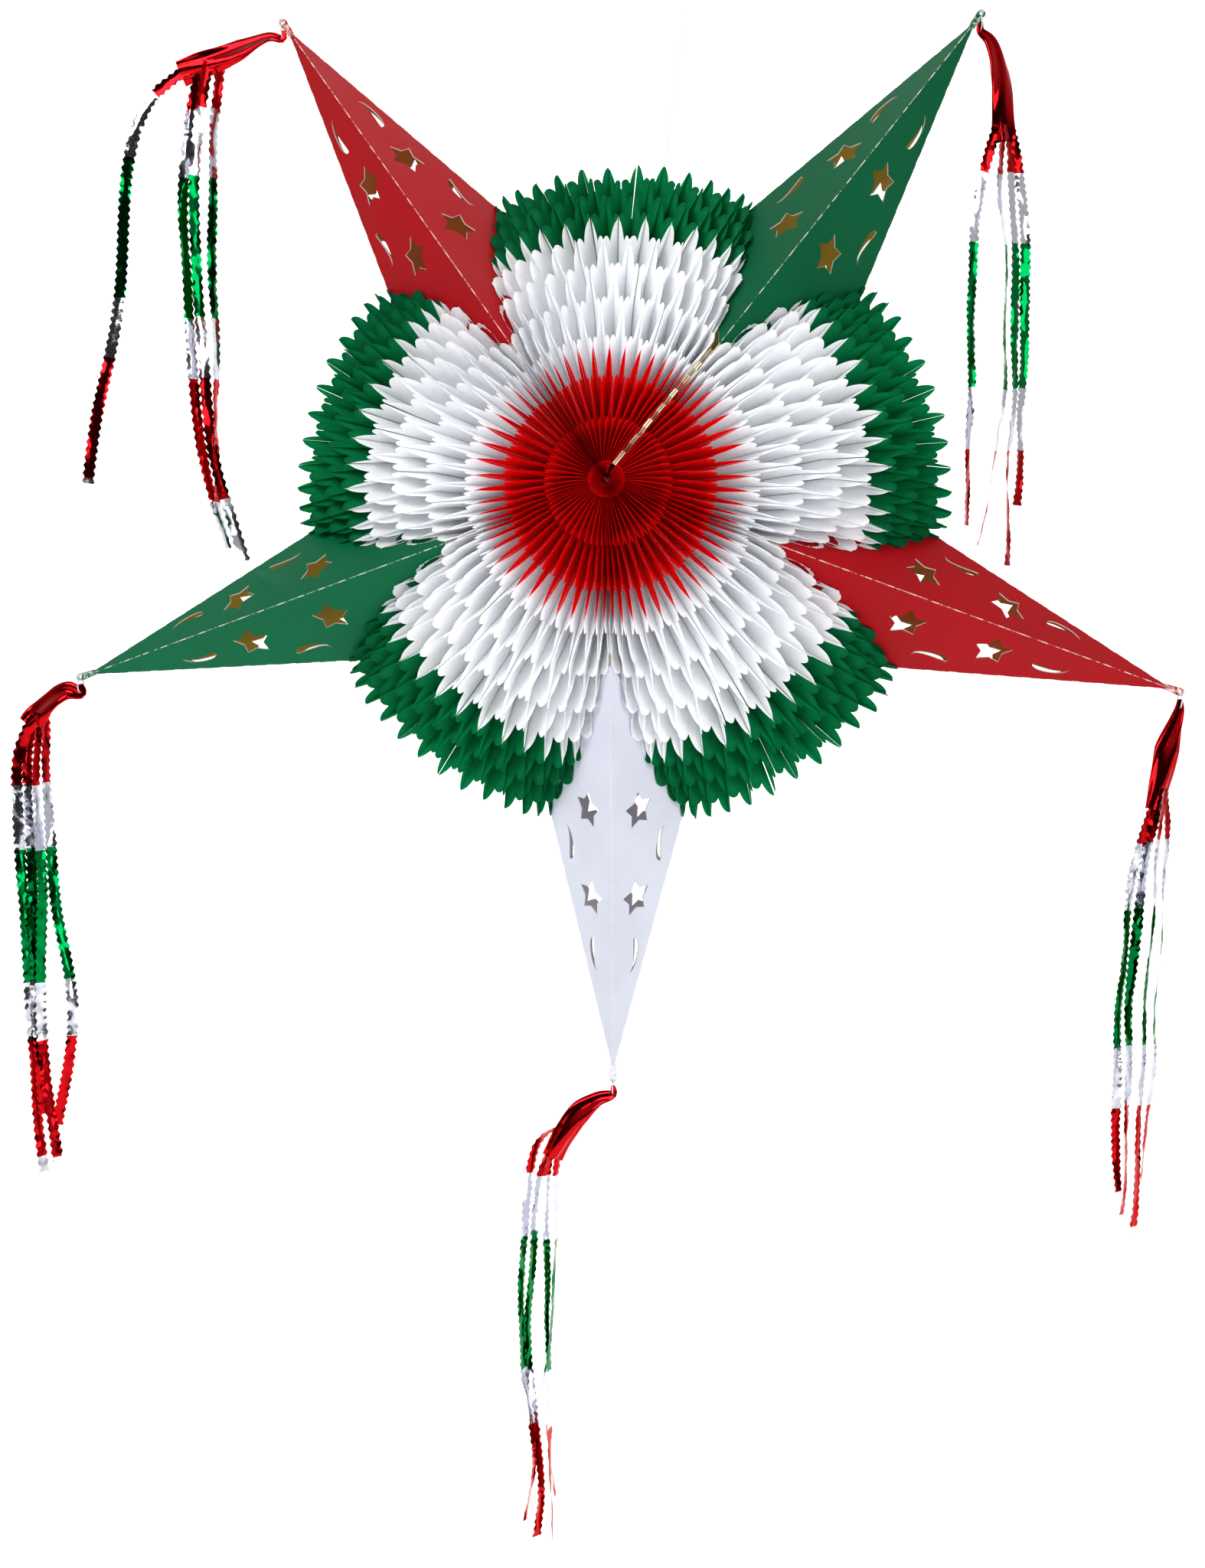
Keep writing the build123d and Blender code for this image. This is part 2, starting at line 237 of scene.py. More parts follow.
def tissue(name):
    settings = tissueSettings
    colour, edge, through = settings[name]
    paint = Paint(f"tissue_{name}")
    where, sheet = paint.place("Object"), paint.place("UV")
    fibre = paint.noise(where, settings["fibre"], 3)
    cloudy = paint.noise(where, 45, 3)
    row = paint.part(sheet, "X") * settings["rows"]
    glue = abs(row.maths("PINGPONG", row, 0.5)).ramp(0.0, 0.09, (0.9, 1))
    amount = cloudy.ramp(0.3, 0.7, (0.92, 1.04)) * glue * fibre.ramp(0.2, 0.8, (0.94, 1.05))
    body = paint.shaded(colour, amount)
    nearEdge = paint.part(sheet, "Y").ramp(0.975, 0.995, (0, 0.8))
    base = paint.mix(nearEdge, body, edge)
    normal = paint.bump(fibre, settings["fibreDepth"], 0.5)
    main = paint.surface({"Base Color": base, "Roughness": settings["roughness"],
                          "Specular IOR Level": 0.08, "Normal": normal})
    glow = paint.node("ShaderNodeBsdfTranslucent", {}, {"Color": through})
    both = paint.node("ShaderNodeMixShader", {}, {0: settings["through"], 1: main, 2: glow})
    return paint.last(both)


cardSettings = {  # printed face, and the bare board inside
    "red": (rgb(146, 8, 16), rgb(150, 84, 40)),
    "green": (rgb(1, 78, 46), rgb(150, 124, 50)),
    # the same green card painted lighter for the left cone: painted light, as more light falls on
    # that cone
    "greenPaintedLighter": (rgb(2, 88, 54), rgb(150, 124, 50)),
    "white": (rgb(194, 197, 209), rgb(160, 156, 164)),
    "creaseWidth": 0.0005,
    "grain": 1800,
    "grainDepth": 0.00004,
}


def card(name):
    settings = cardSettings
    colour, bare = settings[name]
    paint = Paint(f"card_{name}")
    where, creases = paint.place("Object"), paint.place("UV")
    grain = paint.noise(where, settings["grain"], 3)
    cloudy = paint.noise(where, 22, 3)
    nearest = paint.part(creases, "X").smaller(paint.part(creases, "Y"))
    wear = paint.noise(where, 420, 4, 0.7).ramp(0.42, 0.6)
    cracked = nearest.ramp(settings["creaseWidth"] * 0.2, settings["creaseWidth"], (0.6, 0)) * wear
    amount = cloudy.ramp(0.3, 0.7, (0.95, 1.04)) * grain.ramp(0.2, 0.8, (0.97, 1.03))
    base = paint.mix(cracked, paint.shaded(colour, amount), rgb(232, 226, 222))
    rough = cloudy.ramp(0.3, 0.7, (0.38, 0.5)) + cracked * 0.3
    main = paint.surface({"Base Color": base, "Roughness": rough, "Specular IOR Level": 0.04,
                          "Normal": paint.bump(grain, settings["grainDepth"], 0.4)})
    face = paint.last(main)

    paint = Paint(f"card_{name}_inside")
    where = paint.place("Object")
    grain = paint.noise(where, settings["grain"], 4)
    cloudy = paint.noise(where, 30, 2)
    amount = grain.ramp(0.2, 0.8, (0.86, 1.08)) * cloudy.ramp(0.3, 0.7, (0.9, 1.05))
    inside = paint.last(paint.surface({
        "Base Color": paint.shaded(bare, amount), "Roughness": 0.9, "Specular IOR Level": 0.2,
        "Emission Color": bare, "Emission Strength": 0.3,  # light that comes through the card
        "Normal": paint.bump(grain, settings["grainDepth"], 0.6)}))
    return [face, inside, edgeCard]


def plainCard(name, colour, grainScale, spread, rough):
    paint = Paint(name)
    where = paint.place("Object")
    grain = paint.noise(where, grainScale, 4, 0.6)
    cloudy = paint.noise(where, 35, 3)
    amount = grain.ramp(0.2, 0.8, (1 - spread, 1 + spread / 2))
    amount = amount * cloudy.ramp(0.3, 0.7, (0.95, 1.03))
    return paint.last(paint.surface({
        "Base Color": paint.shaded(colour, amount), "Roughness": cloudy.ramp(0.3, 0.7, rough),
        "Specular IOR Level": 0.3, "Normal": paint.bump(grain, 0.00005, 0.5)}))


filmSettings = {  # colours down a tassel, each from that many metres below the tie
    "bands": [(0.0, "red"), (0.075, "silver"), (0.112, "green"), (0.189, "silver"),
              (0.223, "red"), (0.292, "silver")],
    "red": rgb(172, 12, 18),
    "silver": rgb(206, 207, 216),
    "green": rgb(0, 110, 50),
    "longest": 0.32,
    "crinkle": 40,
    "crinkleDepth": 0.0008,
    "crinkleStrength": 0.25,
}


def film():
    settings = filmSettings
    paint = Paint("film")
    where, sheet = paint.place("Object"), paint.place("UV")
    down = paint.part(sheet, "Y")
    stops = [(start / settings["longest"], settings[name]) for start, name in settings["bands"]]
    base = paint.node("ShaderNodeValToRGB", {"steps": "CONSTANT", "stops": stops}, {0: down})
    crinkle = paint.noise(paint.stretched(where, (1, 1, 0.35)), settings["crinkle"], 3, 0.6)
    scuffs = paint.noise(where, 900, 3)
    rough = scuffs.ramp(0.35, 0.75, (0.06, 0.2))
    return paint.last(paint.surface({
        "Base Color": base, "Metallic": 1.0, "Roughness": rough,
        "Normal": paint.bump(crinkle, settings["crinkleDepth"],
                             settings["crinkleStrength"])}))


def twisted(name, colour, pitch, rough):
    # thread and cord: strands that wind round at a slant
    paint = Paint(name)
    where = paint.place("Object")
    slant = paint.part(where, "X") + paint.part(where, "Z") + paint.part(where, "Y")
    strand = (slant * (2 * pi / pitch)).maths("SINE", slant * (2 * pi / pitch))
    fuzz = paint.noise(where, 4000, 2)
    # the colour is darker where the strands' bump is low, in the grooves between them: painted
    # shade; fuzz is the fibres' own uneven tone
    amount = strand.ramp(-1, 1, (0.7, 1.05)) * fuzz.ramp(0.2, 0.8, (0.9, 1.1))
    return paint.last(paint.surface({
        "Base Color": paint.shaded(colour, amount), "Roughness": rough, "Specular IOR Level": 0.3,
        "Normal": paint.bump(strand, 0.0001, 0.6)}))


def paintedWire():
    paint = Paint("tie_wire")
    where = paint.place("Object")
    chips = paint.noise(where, 2600, 3).ramp(0.6, 0.68)
    base = paint.mix(chips, rgb(206, 208, 212), rgb(150, 40, 42))
    return paint.last(paint.surface({
        "Base Color": base, "Metallic": 1 - chips * 0.9,
        "Roughness": chips.ramp(0, 1, (0.3, 0.5))}))


edgeCard = plainCard("card_edge", rgb(214, 206, 200), 2500, 0.12, (0.75, 0.9))
creamCard = plainCard("cream_card", rgb(226, 212, 176), 1500, 0.14, (0.65, 0.85))
dividerCard = plainCard("divider_card", rgb(214, 202, 174), 1500, 0.16, (0.7, 0.9))
tissues = {name: tissue(name) for name in ("red", "white", "green")}
cards = {name: card(name) for name in ("red", "green", "greenPaintedLighter", "white")}
filmPaint = film()
threadPaint = twisted("thread", rgb(236, 236, 232), 0.0009, 0.7)
cordPaint = twisted("spine_thread", rgb(214, 60, 56), 0.0022, 0.8)
wirePaint = paintedWire()
print("materials are made")


def piece(name, bm, materials, smooth=True):
    mesh = bpy.data.meshes.new(name)
    bm.to_mesh(mesh)
    bm.free()
    for material in materials:
        mesh.materials.append(material)
    mesh.polygons.foreach_set("use_smooth", [smooth] * len(mesh.polygons))
    made = bpy.data.objects.new(name, mesh)
    bpy.context.collection.objects.link(made)
    return made


# Hanging thread

threadSettings = {
    "lean": 6.7,  # degrees to the right of straight up
    "start": 0.0015,
    "length": 0.290,
    "diameter": 0.0006,
    "points": (0, 0.3, 0.65, 1),
}


def hangingThread(settings):
    lean = radians(settings["lean"])
    upwards = Vector((sin(lean), 0, cos(lean)))
    curve = bpy.data.curves.new("threadLine", "CURVE")
    curve.dimensions = "3D"
    curve.bevel_depth = settings["diameter"] / 2
    curve.bevel_resolution = 3
    curve.use_fill_caps = True
    line = curve.splines.new("NURBS")
    line.points.add(len(settings["points"]) - 1)
    for point, share in zip(line.points, settings["points"]):
        point.co = (*(hub + upwards * (settings["start"] + share * settings["length"])), 1)
    line.order_u = 3
    line.use_endpoint_u = True
    line.resolution_u = 8
    curve.materials.append(threadPaint)
    made = bpy.data.objects.new("threadLine", curve)
    bpy.context.collection.objects.link(made)
    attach(made, "bottom_sector")
    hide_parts("hanging_thread")


hangingThread(threadSettings)
print("thread is made")


# Tissue lobes

tipRadius = 0.320
halfWidth, halfDepth = radians(14.3), radians(18)  # of a cone, at its tip
ridgeBase, sideBase = 0.090, 0.150  # how far from the hub a cone's ridges and sides begin

lobeSettings = {
    "rows": 20,
    "stepsPerRow": 12,
    "stepsOut": 6,
    "leaves": 28,
    "leavesPerPiece": 4,
    "core": 0.0029,
    "halfDepth": 0.125,
    # how far the rows reach from the spine, in millimetres, from the front to the middle
    "reach": [6, 27, 49, 71, 93, 114, 132, 147, 160, 172, 183],
    "sideDrop": 0.04,
    "crowding": 0.8,  # how much closer the leaves are at a lobe's two sides
    "petal": {"red": 0.007, "white": 0.0075, "green": 0.006},
    "gap": 0.0007,
    "meeting": 0.0001,
    "dividerEdge": (0.0945, 0.2),  # its front at the hub, and its slope back
    "boardGap": 0.0031,  # the two boards lie between the top lobe and the upper right cone
    "open": 0.95,
    "turnRadius": 0.11,
    "redRows": 3,
    "greenRows": 7,
    # a white petal's edge, from its tip to the notch beside it: place, and how deep
    "brace": [(0, 0), (0.05, 0.13), (0.12, 0.1), (0.22, 0.14),
              (0.32, 0.3), (0.4, 0.54), (0.46, 0.8), (0.5, 1)],
    "ripple": 0.012,
    "uneven": 0.14,  # of the space between leaves, at their cut edges
    "curl": 0.15,
}


def onRoute(route, share):
    # a point of the smooth line through a route's points
    place = share * (len(route) - 1)
    n = min(int(place), len(route) - 2)
    t = place - n
    a, b, c, d = (route[max(0, min(len(route) - 1, n + m))] for m in (-1, 0, 1, 2))
    return (b * 2 + (c - a) * t + (a * 2 - b * 5 + c * 4 - d) * t ** 2
            + (b * 3 - a - c * 3 + d) * t ** 3) / 2


def between(stops, at):
    for (a, first), (b, other) in zip(stops, stops[1:]):
        if at <= b:
            return first + (other - first) * (at - a) / (b - a)
    return stops[-1][1]


def envelope(row):
    # how far from the spine a leaf reaches at a row
    reach = lobeSettings["reach"]
    row = min(row, 2 * len(reach) - 2 - row)
    return onRoute([Vector((r * mm, 0)) for r in reach + reach[-2:-3:-1]], row / len(reach)).x


def besideCone(y, reach):
    # angle from a cone's middle to its flank, at y and that far from the spine
    y, slope = abs(y), atan((tan(halfWidth) * (tipRadius - sideBase)) / sideBase)
    outer = asin(min(1, (tipRadius - y / tan(halfDepth)) * sin(halfWidth) / reach)) - halfWidth \
        if y < tipRadius * tan(halfDepth) else -1
    start = y * ridgeBase / (tan(halfDepth) * (tipRadius - ridgeBase))
    inner = slope - asin(min(1, start * sin(slope) / reach))
    return max(0, min(outer, inner))


def wander(x, y, z):
    return noise.noise(Vector((x, y, z)))


def leafAngles(y, reach, lobeGaps):
    # angles of every leaf of a lobe from its middle, at y and that far from the spine
    settings = lobeSettings
    flank = besideCone(y, reach)
    front, drop = settings["dividerEdge"]
    if abs(y) > front - drop * reach:  # in front of the divider's edge the lobes meet
        lobeGaps = [gap if gap > settings["gap"] else settings["meeting"] for gap in lobeGaps]
    low, high = (radians(36) - flank - asin(min(0.5, gap / reach)) for gap in lobeGaps)
    last = settings["leaves"] - 1
    full = sin(settings["crowding"] * pi / 2)
    places = [sin(settings["crowding"] * (2 * i / last - 1) * pi / 2) / full
              for i in range(last + 1)]
    return [-low + (place + 1) / 2 * (low + high) for place in places]


def colourAt(row):
    fromEnd = min(row, lobeSettings["rows"] - row)
    if fromEnd < lobeSettings["redRows"]:
        return "red"
    return "green" if fromEnd > lobeSettings["greenRows"] else "white"


def notch(row):
    # how far the cut edge drops below the petals' tips, which are on the glue lines
    settings = lobeSettings
    colour = colourAt(row)
    fromTip = abs(row - round(row))
    if colour == "white":
        return settings["petal"][colour] * between(settings["brace"], fromTip)
    return settings["petal"][colour] * (2 * fromTip) ** 2.8


def openLobe(name, direction, first, other, way):
    settings = lobeSettings
    random.seed(name)
    seed = random.uniform(0, 90)
    rows, out = settings["rows"], settings["stepsOut"]
    gaps = (settings["boardGap"] if name == "top" else settings["gap"], settings["gap"])
    count, group = settings["leaves"], settings["leavesPerPiece"]
    for start in range(0, count, group):
        bm = bmesh.new()
        bm.loops.layers.uv.new("UVMap")
        for i in range(start, start + group):
            before = len(bm.verts)
            bmesh.ops.create_grid(bm, x_segments=rows * settings["stepsPerRow"], y_segments=out,
                                  size=0.5, calc_uvs=True)
            bm.verts.ensure_lookup_table()
            u = 2 * i / (count - 1) - 1
            side = 1 - settings["sideDrop"] * abs(u) ** 4
            curl = random.uniform(-1, 1)
            for vert in bm.verts[before:]:
                row, share = (vert.co.x + 0.5) * rows, vert.co.y + 0.5
                y = -settings["halfDepth"] + 2 * settings["halfDepth"] * row / rows
                full = envelope(row) * side
                ripple = 1 + settings["ripple"] * wander(row * 0.5, i * 0.35, seed)
                reach = full * ripple - notch(row)
                reach = settings["core"] + share * max(0.002, reach - settings["core"])
                angles = leafAngles(y, reach, gaps)
                swing = asin(settings["open"] * cos(pi * row)) / asin(settings["open"])
                toNext = swing if i % 2 == 0 else -swing
                if 0 < i < count - 1:
                    near = i + 1 if toNext > 0 else i - 1
                    half = 1.0 if near in (0, count - 1) else 0.5
                    offset = (angles[near] - angles[i]) * half * abs(toNext) * 0.97
                    spacing = abs(angles[near] - angles[i])
                    loose = share ** 4 * (0.6 if colourAt(row) == "green" else 1)
                    uneven = wander(row * 1.1, i * 1.7, seed + 5)
                    offset += spacing * settings["uneven"] * loose * uneven
                    offset += spacing * settings["curl"] * curl * loose * (1 - abs(toNext))
                else:
                    offset = 0
                theta = radians(direction) + angles[i] + offset
                vert.co = hub + Vector((reach * cos(theta), y, reach * sin(theta)))
        bm.faces.ensure_lookup_table()
        uvs = bm.loops.layers.uv.active
        for face in bm.faces:
            row = sum(loop[uvs].uv.x for loop in face.loops) / len(face.loops) * rows
            face.material_index = list(tissues).index(colourAt(row))
        made = piece(f"leaves_{name}_{start // group + 1}", bm,
                     list(tissues.values()))
        followLobe(made, (start + group / 2 - 0.5) / (count - 1), direction, way)
        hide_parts(f"tissue_lobe_{name}")


def followLobe(made, across, direction, way):
    # across is 0 at the lobe's clockwise side and 1 at the other
    weight = across if way > 0 else 1 - across
    t = 0.5 - sin(asin(1 - 2 * weight) / 3)
    theta = radians(direction + (across - 0.5) * 72)
    tangent = Vector((-sin(theta), 0, cos(theta))) * way
    run = tangent * (6 * t * (1 - t) * lobeSettings["turnRadius"] * radians(72))
    tuple(hub - run * t)
    tuple(hub + run * (1 - t))
    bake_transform(made)


for lobeName, facts in lobes.items():
    openLobe(lobeName, *facts)
    print("opened the tissue lobe", lobeName)


# Card cones

coneSettings = {
    "card": 0.0006,
    "slot": 0.0046,
    "slotPitch": 0.0134,
    "slotDepth": 0.00035,
    "starRadius": 0.0108,
    "starWaist": 0.56,
    "moonLength": 0.021,
    "moonBulge": 0.0058,
    "moonThickness": 0.0058,
    # shape, distance from the tip, place from ridge to side edge, which way a moon's back faces
    "cutOuts": [("moon", 0.068, 0.56, 1), ("star", 0.102, 0.48, 0),
                ("moon", 0.132, 0.80, -1), ("star", 0.152, 0.36, 0)],
    "tabWidth": 0.0046,
    "tabThickness": 0.0012,
    "holeRadius": 0.001,
    "tieHeight": 0.3244,
    # the left cone gets the green card painted lighter, as painted light
    "cards": {"bottom": "white", "left": "greenPaintedLighter", "upper_left": "red", "right": "red",
              "upper_right": "green"},
}


def cutOut(bm, shape, back):
    settings = coneSettings
    if shape == "star":
        made = bmesh.ops.create_circle(bm, segments=10, radius=settings["starRadius"])["verts"]
        first = min(made, key=lambda v: v.co.y)
        for vert in made:
            turn = first.co.angle(vert.co) / radians(36)
            if round(turn) % 2:
                vert.co *= settings["starWaist"]
        return made
    half = settings["moonLength"] / 2
    made = bmesh.ops.create_circle(bm, segments=24, radius=half)["verts"]
    for vert in made:
        across, along = vert.co.y / half, vert.co.x / half
        height = max(0, 1 - along ** 2) ** 0.4 * settings["moonBulge"]
        if across < 0:  # the inner edge leaves one end blunt and the other drawn out
            inner = max(0, 1 - along ** 2) ** 0.35 * settings["moonThickness"]
            height -= inner * (0.62 + 0.4 * back * along)
        vert.co.y = back * height
    return made


def notched(start, end, inward):
    # points from start to end, with perforation slots that go inward from the line
    settings = coneSettings
    length = (end - start).length
    along = (end - start) / length
    inside = inward * settings["slotDepth"]
    points = [start]
    place = settings["slotPitch"]
    while place + settings["slot"] < length - 0.003:
        near, far = start + along * place, start + along * (place + settings["slot"])
        points += [near, near + along * 0.0004 + inside, far - along * 0.0004 + inside, far]
        place += settings["slotPitch"]
    return points + [end]


def panel(bm, ridge, side):
    # a flat panel between a ridge and a side edge, which are unit vectors from the tip
    settings = coneSettings
    corner = acos(cos(halfWidth) * cos(halfDepth))
    ridgeEnd = Vector(((tipRadius - ridgeBase) / cos(halfDepth), 0, 0))
    sideAlong = Vector((cos(corner), sin(corner), 0))
    sideEnd = sideAlong * ((tipRadius - sideBase) / cos(halfWidth))
    tip = Vector((0, 0, 0))
    outline = notched(tip, ridgeEnd, Vector((0, 1, 0)))
    outline += notched(sideEnd, tip, Vector((sin(corner), -cos(corner), 0)))[:-1]
    before = len(bm.verts)
    corners = [bm.verts.new(point) for point in outline]
    edges = [bm.edges.new(pair) for pair in zip(corners, corners[1:] + corners[:1])]
    for shape, fromTip, across, back in settings["cutOuts"]:
        centre = Vector((fromTip * (1 - across) / cos(halfDepth), 0, 0))
        centre += sideAlong * (fromTip * across / cos(halfWidth))
        toSide = (sideAlong / cos(halfWidth) - Vector((1, 0, 0)) / cos(halfDepth)).normalized()
        toBase = Vector((toSide.y, -toSide.x, 0))
        for vert in cutOut(bm, shape, back):
            vert.co = centre + toBase * vert.co.x + toSide * vert.co.y
            for edge in vert.link_edges:
                if edge not in edges:
                    edges.append(edge)
    faces = [f for f in bmesh.ops.triangle_fill(bm, use_beauty=True, edges=edges)["geom"]
             if isinstance(f, bmesh.types.BMFace)]
    uvs = bm.loops.layers.uv.active
    for face in faces:
        for loop in face.loops:
            at = loop.vert.co
            fromSide = at.x * sin(corner) - at.y * cos(corner)
            loop[uvs].uv = (max(at.y, 0), max(fromSide, 0))
    bm.verts.ensure_lookup_table()
    for vert in bm.verts[before:]:
        alongSide = vert.co.y / sin(corner)
        alongRidge = vert.co.x - alongSide * cos(corner)
        vert.co = Vector((0, 0, tipRadius)) + ridge * alongRidge + side * alongSide


def crimpedTip(bm):
    settings = coneSettings
    width, thickness = settings["tabWidth"], settings["tabThickness"]
    outer = bmesh.ops.create_circle(bm, segments=20, radius=width / 2)["verts"]
    for vert in outer:
        if vert.co.y > -1e-6:
            vert.co.y += settings["tieHeight"]
        else:
            vert.co.y += tipRadius - width
            vert.co.x *= 0.7
    hole = bmesh.ops.create_circle(bm, segments=14, radius=settings["holeRadius"])["verts"]
    bmesh.ops.translate(bm, verts=hole, vec=(0, settings["tieHeight"], 0))
    edges = list({edge for vert in outer + hole for edge in vert.link_edges})
    faces = [f for f in bmesh.ops.triangle_fill(bm, use_beauty=True, edges=edges)["geom"]
             if isinstance(f, bmesh.types.BMFace)]
    grown = bmesh.ops.extrude_face_region(bm, geom=faces)["geom"]
    top = [v for v in grown if isinstance(v, bmesh.types.BMVert)]
    bmesh.ops.translate(bm, verts=top, vec=(0, 0, thickness))
    tab = outer + hole + top
    bmesh.ops.translate(bm, verts=tab, vec=(0, 0, -thickness / 2))
    bmesh.ops.rotate(bm, verts=tab, cent=(0, 0, 0), matrix=Matrix.Rotation(pi / 2, 3, "X"))
    return tab


def pointOut(bm, centre):
    # turns every face of an open shell away from its middle
    bmesh.ops.recalc_face_normals(bm, faces=bm.faces)
    inwards = sum(face.normal.dot(face.calc_center_median() - centre) * face.calc_area()
                  for face in bm.faces)
    if inwards < 0:
        bmesh.ops.reverse_faces(bm, faces=bm.faces)


def cardCone(name, direction):
    settings = coneSettings
    turn = Matrix.Rotation(radians(90 - direction), 4, "Y")
    bm = bmesh.new()
    bm.loops.layers.uv.new("UVMap")
    for face in (-1, 1):
        for hand in (-1, 1):
            ridge = Vector((0, face * tan(halfDepth), -1)).normalized()
            side = Vector((hand * tan(halfWidth), 0, -1)).normalized()
            panel(bm, ridge, side)
    bmesh.ops.remove_doubles(bm, verts=bm.verts, dist=0.00005)
    pointOut(bm, Vector((0, 0, sideBase)))
    bmesh.ops.transform(bm, matrix=Matrix.Translation(hub) @ turn, verts=bm.verts)
    made = piece(f"cardCone_{name}", bm, cards[settings["cards"][name]], False)
    wall = made.modifiers.new("card", "SOLIDIFY")
    wall.thickness = settings["card"]
    wall.offset = -1
    wall.use_quality_normals = True
    wall.material_offset = 1
    wall.material_offset_rim = 2
    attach(made, f"{name}_sector")
    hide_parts(f"cone_{name}")

    bm = bmesh.new()
    crimpedTip(bm)
    bmesh.ops.recalc_face_normals(bm, faces=bm.faces)
    bmesh.ops.transform(bm, matrix=Matrix.Translation(hub) @ turn, verts=bm.verts)
    tip = piece(f"crimpedTip_{name}", bm, cards[settings["cards"][name]][:1], False)
    edge = tip.modifiers.new("rounded", "BEVEL")
    edge.width = 0.0002
    edge.segments = 2
    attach(tip, f"{name}_sector")
    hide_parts(f"cone_{name}")


for coneName, coneDirection in coneDirections.items():
    cardCone(coneName, coneDirection)
print("cones are folded")


# Tassels

tasselSettings = {
    "width": 0.006,
    "steps": 224,
    "pinking": 0.0006,
    "layer": 0.0009,
    "wireRadius": 0.00035,
    "headerRadius": 0.0062,
    "headerFlat": 0.2,
    "neckRadius": 0.0012,
    "ruffle": 0.0006,
    "cup": 0.0007,
    "buckle": 0.0006,
    "sway": 0.005,
    "twist": 26,  # degrees that a strip turns this way and that
    "wrap": 5,  # millimetres that the film reaches above the pivot, round the tie
}
# each tassel as it hangs, in millimetres across and up from its tie: the header, then the strips
# with how far each has turned at its top and its foot
tassels = {
    "bottom": ([(0, 0), (-9, -4), (-22, -16), (-34, -38)], [
        ([(-33, -20), (-44, -34), (-50, -81), (-50, -152), (-43, -206), (-47, -252)], 50, 80),
        ([(-30, -20), (-40, -45), (-45, -95), (-47, -164), (-39, -222), (-41, -263)], 60, 40),
        ([(-28, -18), (-36, -40), (-37, -83), (-34, -176), (-32, -268)], 62, 84),
        ([(-26, -18), (-32, -50), (-32, -106), (-37, -187), (-30, -238)], 70, 96),
    ]),
    "left": ([(0, 0), (-8, 1), (-18, -6), (-30, -20)], [
        ([(-27, -14), (-37, -40), (-36, -95), (-32, -164), (-29, -228), (-24, -280)], 20, 60),
        ([(-25, -12), (-32, -36), (-30, -95), (-28, -176), (-24, -246)], 40, 15),
        ([(-23, -12), (-26, -45), (-23, -118), (-25, -190), (-15, -273)], 55, 30),
        ([(-22, -10), (-21, -50), (-17, -118), (-7, -189), (-16, -252)], 60, 10),
    ]),
    "upper_left": ([(0, 0), (-9, 1), (-30, -8), (-58, -18)], [
        ([(-52, -15), (-76, -34), (-88, -71), (-94, -145), (-106, -206), (-112, -244)], 0, 10),
        ([(-46, -13), (-53, -44), (-57, -94), (-53, -161), (-48, -217), (-32, -280)], 30, 75),
        ([(-42, -12), (-47, -44), (-50, -94), (-46, -161), (-40, -224), (-22, -287)], 50, 20),
        ([(-36, -12), (-39, -44), (-41, -105), (-39, -172), (-38, -260)], 55, 80),
    ]),
    "right": ([(0, 0), (-2, -9), (-6, -26), (-11, -56)], [
        ([(-10, -48), (-22, -92), (-27, -173), (-27, -225), (-25, -271)], 30, 45),
        ([(-8, -46), (-16, -92), (-21, -162), (-20, -230), (-22, -284)], 20, 60),
        ([(-7, -44), (-10, -92), (-13, -162), (-14, -219), (-16, -298)], 55, 30),
        ([(-5, -44), (-4, -92), (-6, -162), (-8, -219), (-12, -264)], 60, 75),
    ]),
    "upper_right": ([(0, 0), (6, -7), (11, -28), (14, -58)], [
        ([(10, -50), (4, -73), (-1, -115), (0, -192), (-1, -264)], 35, 55),
        ([(13, -50), (13, -82), (17, -126), (18, -192), (12, -242), (6, -275)], 55, 75),
        ([(15, -50), (19, -82), (22, -137), (23, -192), (21, -246), (22, -286)], 40, 65),
        ([(17, -50), (25, -86), (28, -137), (28, -192), (27, -253)], 20, 45),
    ]),
}


def evenly(route, count):
    # count + 1 points at equal steps along the smooth line, and its length
    fine = [onRoute(route, n / 400) for n in range(401)]
    runs = [0]
    for a, b in zip(fine, fine[1:]):
        runs.append(runs[-1] + (b - a).length)
    points, n = [], 0
    for step in range(count + 1):
        goal = runs[-1] * step / count
        while n < 399 and runs[n + 1] < goal:
            n += 1
        t = (goal - runs[n]) / max(1e-9, runs[n + 1] - runs[n])
        points.append(fine[n].lerp(fine[n + 1], min(1, t)))
    return points, runs[-1]


def strip(bm, route, turns, layer, headLength, seed):
    settings = tasselSettings
    steps = settings["steps"]
    points, length = evenly(route, steps)
    before = len(bm.verts)
    bmesh.ops.create_grid(bm, x_segments=steps, y_segments=4, size=0.5)
    bm.verts.ensure_lookup_table()
    uvs = bm.loops.layers.uv.active
    made = bm.verts[before:]
    spots = {}
    for vert in made:
        n = round((vert.co.x + 0.5) * steps)
        across = vert.co.y * 2
        spots[vert] = (headLength + length * n / steps, across)
        down = (points[min(steps, n + 1)] - points[max(0, n - 1)]).normalized()
        flat = down.cross(Vector((0, 1, 0)))
        share = n / steps
        turn = radians(turns[0] + (turns[1] - turns[0]) * share ** 1.5
                       + settings["twist"] * wander(share * 4, seed, 1))
        wide = flat * cos(turn) + Vector((0, 1, 0)) * sin(turn)
        thick = down.cross(wide)
        pinked = settings["pinking"] * sin(n * pi / 2) if abs(across) > 0.9 else 0
        half = settings["width"] / 2 - pinked
        cup = settings["cup"] * (across ** 2) * sin(share * 21 + seed)
        cup = cup + settings["buckle"] * wander(share * 30, across, seed)
        sway = settings["sway"] * share * wander(share * 2.5, seed, 7)
        sway = Vector((0, layer + sway, 0))
        vert.co = points[n] + wide * (across * half) + thick * cup + sway
    for vert in made:
        for loop in vert.link_loops:
            run, across = spots[vert]
            loop[uvs].uv = (across / 2 + 0.5, run / filmSettings["longest"])


